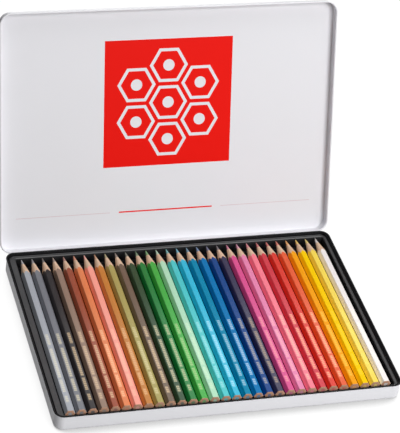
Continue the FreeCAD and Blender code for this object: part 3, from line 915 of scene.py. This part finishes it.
@dataclass
class Tray:
    """Moulded tray: lip, ledge, rounded well and a raised bed with ridges between the pencils."""

    skin: float = 0.8
    lip_corner: float = 5.7
    lip_round: float = 0.3
    well_corner: float = 1.8
    ledge_height: float = 11.5
    ledge_round: float = 1.0
    left_room: float = 0.5
    right_room: float = 3.1
    end_ledge: float = 3.1
    floor_round: float = 1.5
    bed_height: float = 7.2
    bed_front: float = -78.8
    bed_back: float = 66.2
    ridge_height: float = 2.0
    ridge_foot: float = 2.03
    ridge_crest: float = 0.87
    corner_steps: int = 12
    round_steps: int = 5
    cap_corner: float = 0.3
    sharp_edge: float = 25.0

    def shell(self, low: Vector, high: Vector, sides: tuple[float, float]) -> tuple[np.ndarray, np.ndarray]:
        """Rows from the underside, out under the ledge, over the lip, and down into the well.

        Each row is a rounded rectangle: those of the lip shrink by their inset, those of the well by
        their distance from the well's wall, and sit about the well's own middle.

        Args:
            low: lowest corner of the tray.
            high: highest corner of the tray.
            sides: left and right side of the well.

        Returns:
            Points as rows by stations by 3, and the zone of each row, which is 1 on the ledge.
        """
        quarter = arc(0, 90, self.round_steps)
        rows: list[tuple[float, ...]] = []
        middle, half = (sides[0] + sides[1]) / 2, (sides[1] - sides[0]) / 2

        def well(outward: float, level: float, zone: float = 0.0) -> None:
            """Add a row at a distance outside the well's wall."""
            corner = max(self.well_corner + outward, self.cap_corner)
            rows.append((half + outward, high.y - self.end_ledge + outward, corner, level, middle, zone))

        def lip(inward: float, level: float, zone: float = 0.0) -> None:
            """Add a row at a distance inside the lip's outer face."""
            rows.append((high.x - inward, high.y - inward, self.lip_corner - inward, level, 0.0, zone))

        floor = low.z + self.skin
        well(self.cap_corner - self.well_corner, low.z)
        well(self.skin, low.z)
        well(self.skin, self.ledge_height - self.skin)
        lip(0.0, self.ledge_height - self.skin)
        lip(0.0, high.z - self.lip_round)
        lip(self.lip_round, high.z)
        lip(self.skin - self.lip_round, high.z)
        lip(self.skin, high.z - self.lip_round)
        lip(self.skin, self.ledge_height + self.lip_round)
        # Zone 1 marks the ledge, which the finish paints lighter as sheen.
        lip(self.skin + self.lip_round, self.ledge_height, 1.0)
        for turn in quarter:
            drop = self.ledge_round * (1 - math.cos(turn))
            well(self.ledge_round * (1 - math.sin(turn)), self.ledge_height - drop, 1.0)
        for turn in quarter:
            well(-self.floor_round * (1 - math.cos(turn)), floor + self.floor_round * (1 - math.sin(turn)))
        well(self.cap_corner - self.well_corner, floor)
        *outline, middles, zones = np.array(rows).T
        points = Ring.around(self.corner_steps).rows(*outline)
        points[..., 0] += middles[:, None]
        return points, zones

    def bed(self, sides: tuple[float, float], middles: np.ndarray, floor: float) -> np.ndarray:
        """Raised bed as a loaf: one ridged outline across, carried from front to back.

        Args:
            sides: left and right side of the well.
            middles: places of the pencils across.
            floor: height that the bed stands on.

        Returns:
            Points as columns across by four rows round the loaf by 3.
        """
        between = (middles[1:] + middles[:-1]) / 2
        offsets = np.array([-self.ridge_foot, -self.ridge_crest, self.ridge_crest, self.ridge_foot])
        rises = np.array([0.0, self.ridge_height, self.ridge_height, 0.0])
        left, right = sides[0] - self.skin / 2, sides[1] + self.skin / 2
        across = np.concatenate([[left], (between[:, None] + offsets).ravel(), [right]])
        top = self.bed_height + np.concatenate([[0.0], np.tile(rises, between.size), [0.0]])
        bottom = np.full(across.size, floor)
        front = np.full(across.size, self.bed_front)
        back = np.full(across.size, self.bed_back)
        corners = [(front, bottom), (back, bottom), (back, top), (front, top)]
        return np.stack([np.stack([across, y, z], axis=-1) for y, z in corners], axis=1)

    def build(self, finish: BlackTrayPlastic, pencils: "PencilRow") -> bpy.types.Object:
        """Join the shell and the bed.

        Args:
            finish: the plastic.
            pencils: the row that the well and the ridges fit.

        Returns:
            The tray.
        """
        low, high = (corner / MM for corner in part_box("tray_insert"))
        left, right = pencils.ends()
        sides = (left - self.left_room, right + self.right_room)
        piece = Piece("pencil_tray")
        piece.add(*self.shell(low, high, sides))
        piece.add(self.bed(sides, pencils.middles(), low.z + self.skin / 2))
        made = piece.finish(finish.material(), self.sharp_edge)
        return settle(made, "tin", "tray_insert")


class PencilZone(Enum):
    """Values of the attribute that tells a pencil's surfaces apart, where each zone begins."""

    END = 0.5
    LACQUER = 1.0
    CONE = 2.0
    LEAD = 3.0


@dataclass
class PencilSizes:
    """Sizes of one pencil."""

    flats: float = 6.9
    edge_round: float = 0.35
    lead: float = 3.0
    tip: float = 0.6
    sharpening: float = math.radians(10.4)
    end_bevel: float = 0.2
    lead_margin: float = 0.92
    scallop_margin: float = 0.4
    lead_zone_step: float = 0.25
    bevel_zone_step: float = 0.1
    scallop_zone_step: float = 0.05
    flat_steps: int = 6
    edge_steps: int = 4
    sharp_edge: float = 50.0

    def outline(self) -> tuple[np.ndarray, np.ndarray]:
        """Rounded hexagon with a flat on top, run clockwise seen from the blunt end's outside.

        Each side is a straight stretch along its flat followed by an arc about the next edge.

        Returns:
            Distance from the axis and direction of each point.
        """
        half, rounding = self.flats / 2, self.edge_round
        normal = np.radians(np.arange(6) * 60.0 + 30.0)[:, None]
        reach = (half - rounding) * math.tan(math.pi / 6)
        along = np.linspace(-reach, reach, self.flat_steps + 1)
        flat_x = half * np.cos(normal) - along * np.sin(normal)
        flat_z = half * np.sin(normal) + along * np.cos(normal)
        centre = (half - rounding) / math.cos(math.pi / 6)
        turn = normal + arc(0, 60, self.edge_steps)[1:-1]
        edge_x = centre * np.cos(normal + math.pi / 6) + rounding * np.cos(turn)
        edge_z = centre * np.sin(normal + math.pi / 6) + rounding * np.sin(turn)
        x = np.concatenate([flat_x, edge_x], axis=1).ravel()
        z = np.concatenate([flat_z, edge_z], axis=1).ravel()
        return np.hypot(x, z), np.arctan2(z, x)

    def surface(self, length: float) -> tuple[np.ndarray, np.ndarray]:
        """Rows from the blunt end to the tip, with a zone value for every row.

        A hexagon's distance from the axis and the cone's straight slope meet where both are equal,
        which draws the scalloped edge of the lacquer on each flat. A row beside a border between two
        zones has a zone value one step short of it or one step past it.

        Args:
            length: blunt end to tip.

        Returns:
            Points as rows by columns by 3 about the blunt end's middle, and each row's zone value.
        """
        hexagon, direction = self.outline()
        slope = math.tan(self.sharpening)
        lead, tip = self.lead / 2, self.tip / 2
        level = np.ones_like(hexagon)
        scallop = length - (hexagon - tip) / slope
        step = self.scallop_margin
        end, lacquer, cone, bare_lead = (zone.value for zone in PencilZone)
        rows = (
            (self.lead_margin * lead * level, 0.0 * level, end - self.lead_zone_step),
            (lead * level, 0.0 * level, end + self.lead_zone_step),
            (hexagon - self.end_bevel, 0.0 * level, lacquer - self.bevel_zone_step),
            (hexagon, self.end_bevel * level, lacquer + self.bevel_zone_step),
            (hexagon, scallop - step, cone - self.scallop_zone_step),
            (hexagon, scallop, cone),
            (hexagon - step * slope, scallop + step, cone + self.scallop_zone_step),
            (lead * level, (length - (lead - tip) / slope) * level, bare_lead),
            (tip * level, length * level, bare_lead + 1.0),
        )
        x, z = np.cos(direction), np.sin(direction)
        points = np.stack([np.stack([far * x, y, far * z], axis=-1) for far, y, _ in rows])
        return points[:, ::-1], np.array([zone for _, _, zone in rows])


@dataclass
class PencilRow:
    """The row of pencils, each in place of its CAD node."""

    sizes: PencilSizes
    boxes: dict[str, tuple[Vector, Vector]]

    @classmethod
    def from_frame(cls, sizes: PencilSizes) -> "PencilRow":
        """The pencils of the frame, left to right."""
        names = sorted(name for name in frame["nodes"] if name.startswith("pencil_"))
        return cls(sizes, {name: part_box(name) for name in names})

    def ends(self) -> tuple[float, float]:
        """Left and right end of the row across, in millimetres."""
        boxes = list(self.boxes.values())
        return boxes[0][0].x / MM, boxes[-1][1].x / MM

    def middles(self) -> np.ndarray:
        """Places of the pencils across, in millimetres."""
        return np.array([(low.x + high.x) / 2 for low, high in self.boxes.values()]) / MM

    def build(self) -> list[bpy.types.Object]:
        """Make every pencil.

        Returns:
            The pencils, left to right.
        """
        made = []
        bodies = frame["record"]["behaviour"]["bodies"]
        for (node, (low, high)), colour in zip(self.boxes.items(), PENCIL_COLOURS):
            start = Vector(((low.x + high.x) / 2, low.y, (low.z + high.z) / 2)) / MM
            points, zones = self.sizes.surface((high.y - low.y) / MM)
            piece = Piece(f"drawn_{node}")
            piece.add(points + np.array(start), zones)
            finish = PencilFinish(colour).material(start, self.sizes)
            pencil = piece.finish(finish, self.sizes.sharp_edge)
            body = next(name for name, nodes in bodies.items() if node in nodes)
            made.append(settle(pencil, body, node))
        return made


@dataclass
class Hinges:
    """The two hinges, whose CAD leaves and pins stay and get their finish."""

    names: tuple[str, ...] = ("base_hinge_leaf", "lid_hinge_leaf", "hinge_pin")

    def dress(self, finish: HingeSteel) -> None:
        """Give every leaf and pin the steel.

        Args:
            finish: the steel.
        """
        steel = finish.material()
        for node, item in frame["nodes"].items():
            if node.startswith(self.names):
                item.data.materials.clear()
                item.data.materials.append(steel)
                LOG.info("%s: steel", node)


@dataclass(frozen=True)
class Lamp:
    """A soft square lamp: where it stands, what it points at and its size in metres, and its power."""

    name: str
    place: Place
    aim: Place
    size: float
    power: float

    def build(self) -> bpy.types.Object:
        """Hang the lamp, out of the camera's sight.

        Returns:
            The lamp.
        """
        light = bpy.data.lights.new(self.name, "AREA")
        light.shape = "SQUARE"
        light.size = self.size
        light.energy = self.power
        lamp = bpy.data.objects.new(self.name, light)
        lamp.location = self.place
        lamp.rotation_euler = (Vector(self.aim) - lamp.location).to_track_quat("-Z", "Y").to_euler()
        lamp.visible_camera = False
        bpy.context.scene.collection.objects.link(lamp)
        return lamp


@dataclass(frozen=True)
class Studio:
    """White floor and background with soft lamps, in metres.

    The floor shows white, and darkens in steps of openness against brightness where the tin shuts out
    the sky within reach, with that sky leaned towards the back.
    """

    floor_half: float = 6.0
    floor_paint: float = 0.08
    floor_bounce: float = 0.42
    shadow_reach: float = 0.022
    shadow_lean: Place = (0.0, 0.5, 0.866)
    shadow_steps: tuple[tuple[float, float], ...] = ((0.30, 0.56), (0.45, 0.80), (0.60, 0.97))
    fill: float = 0.08
    lamps: tuple[Lamp, ...] = (
        Lamp("key_lamp", (0.42, -0.95, 0.92), (0.0, 0.06, 0.06), 0.72, 16.5),
        Lamp("top_lamp", (0.42, 0.25, 1.15), (0.0, 0.0, 0.02), 0.7, 5.6),
        Lamp("back_lamp", (0.15, 1.3, 0.35), (0.0, 0.15, 0.1), 0.5, 5.5),
    )

    @staticmethod
    def seen(recipe: Recipe) -> Shade:
        """Mask of the rays that show the background.

        Args:
            recipe: the floor's or the world's recipe.

        Returns:
            1 for camera, glossy and transmission rays, 0 for the rest.
        """
        path = recipe.node("ShaderNodeLightPath", {}, {}).socket.node.outputs
        camera, glossy, through = (
            Shade(recipe, path[name])
            for name in ("Is Camera Ray", "Is Glossy Ray", "Is Transmission Ray")
        )
        return camera.larger(glossy).larger(through)

    def floor(self) -> bpy.types.Object:
        """A wide pale floor that shows white, keeps the object's faint cast shadow and has a contact shadow
        painted into its emission.

        Returns:
            The floor.
        """
        half = self.floor_half
        mesh = bpy.data.meshes.new("floor")
        corners = [(-half, -half, 0.0), (half, -half, 0.0), (half, half, 0.0), (-half, half, 0.0)]
        mesh.from_pydata(corners, [], [(0, 1, 2, 3)])
        recipe = new_recipe("pale_floor")
        bounce = recipe.node("ShaderNodeBsdfDiffuse", {}, {"Color": (*[self.floor_bounce] * 3, 1.0)})
        paint = recipe.node("ShaderNodeBsdfDiffuse", {}, {"Color": (*[self.floor_paint] * 3, 1.0)})
        lean = recipe.node("ShaderNodeCombineXYZ", {}, dict(enumerate(self.shadow_lean)))
        sockets = {"Distance": self.shadow_reach, "Normal": lean}
        # Painted shadow: the emission darkens where the tin shuts out the sky within reach.
        open_sky = recipe.node("ShaderNodeAmbientOcclusion", {}, sockets, "AO")
        stops = [(openness, (white,) * 3) for openness, white in self.shadow_steps]
        ramp = recipe.node("ShaderNodeValToRGB", {"stops": stops}, {0: open_sky})
        emission_with_painted_shadow = recipe.node("ShaderNodeEmission", {}, {"Color": ramp})
        shown = recipe.node("ShaderNodeAddShader", {}, {0: paint, 1: emission_with_painted_shadow})
        mixed = recipe.node("ShaderNodeMixShader", {}, {0: self.seen(recipe), 1: bounce, 2: shown})
        recipe.node("ShaderNodeOutputMaterial", {}, {"Surface": mixed})
        mesh.materials.append(recipe.owner)
        made = bpy.data.objects.new("floor", mesh)
        bpy.context.scene.collection.objects.link(made)
        return made

    def world(self) -> None:
        """White where it is seen, and a soft fill everywhere else."""
        recipe = Recipe(bpy.data.worlds.new("studio"))
        fill = recipe.node("ShaderNodeBackground", {}, {"Strength": self.fill})
        white = recipe.node("ShaderNodeBackground", {}, {"Color": (1.0, 1.0, 1.0, 1.0), "Strength": 1.0})
        mixed = recipe.node("ShaderNodeMixShader", {}, {0: self.seen(recipe), 1: fill, 2: white})
        recipe.node("ShaderNodeOutputWorld", {}, {"Surface": mixed})
        bpy.context.scene.world = recipe.owner

    def build(self) -> None:
        """Set up the floor, the world and the lamps."""
        self.floor()
        self.world()
        for lamp in self.lamps:
            lamp.build()
        bpy.context.scene.view_settings.view_transform = "Standard"
        LOG.info("studio: floor, world and %d lamps", len(self.lamps))


@dataclass(frozen=True)
class PhotoCamera:
    """Camera of the photograph: angles in degrees, places in millimetres, focal length in pixels."""

    azimuth: float = -21.089
    elevation: float = 37.380
    roll: float = 9.259
    distance: float = 1734.9
    target: tuple[float, float] = (39.9, 139.1)
    focal_pixels: float = 2107.8
    long_side_pixels: float = 433.0
    sensor: float = 36.0
    far_clip: float = 50.0

    def build(self) -> bpy.types.Object:
        """Place the camera on its line of sight and roll it about that line.

        Returns:
            The camera.
        """
        azimuth, elevation, roll = (math.radians(a) for a in (self.azimuth, self.elevation, self.roll))
        flat = math.cos(elevation)
        back = Vector((math.sin(azimuth) * flat, -math.cos(azimuth) * flat, math.sin(elevation)))
        right = Vector((0.0, 0.0, 1.0)).cross(back).normalized()
        up = back.cross(right)
        right, up = (
            math.cos(roll) * right + math.sin(roll) * up,
            math.cos(roll) * up - math.sin(roll) * right,
        )
        lens = bpy.data.cameras.new("photo_camera")
        lens.sensor_width = self.sensor
        lens.lens = self.focal_pixels / self.long_side_pixels * self.sensor
        lens.clip_end = self.far_clip
        camera = bpy.data.objects.new("photo_camera", lens)
        place = (Vector((*self.target, 0.0)) + back * self.distance) * MM
        camera.matrix_world = Matrix.Translation(place) @ Matrix((right, up, back)).transposed().to_4x4()
        bpy.context.scene.collection.objects.link(camera)
        bpy.context.scene.camera = camera
        return camera


def main() -> None:
    """Build every piece in order, then the studio and the camera."""
    logging.basicConfig(level=logging.INFO, format="%(name)s: %(message)s")
    hinge = HingeLine.from_frame()
    pencils = PencilRow.from_frame(PencilSizes())
    TinBase().build(BASE_LACQUER)
    Tray().build(BlackTrayPlastic(), pencils)
    Lid().build(hinge, LidPrint(LID_LACQUER))
    Hinges().dress(HingeSteel())
    pencils.build()
    Studio().build()
    PhotoCamera().build()


if __name__ == "__main__":
    main()
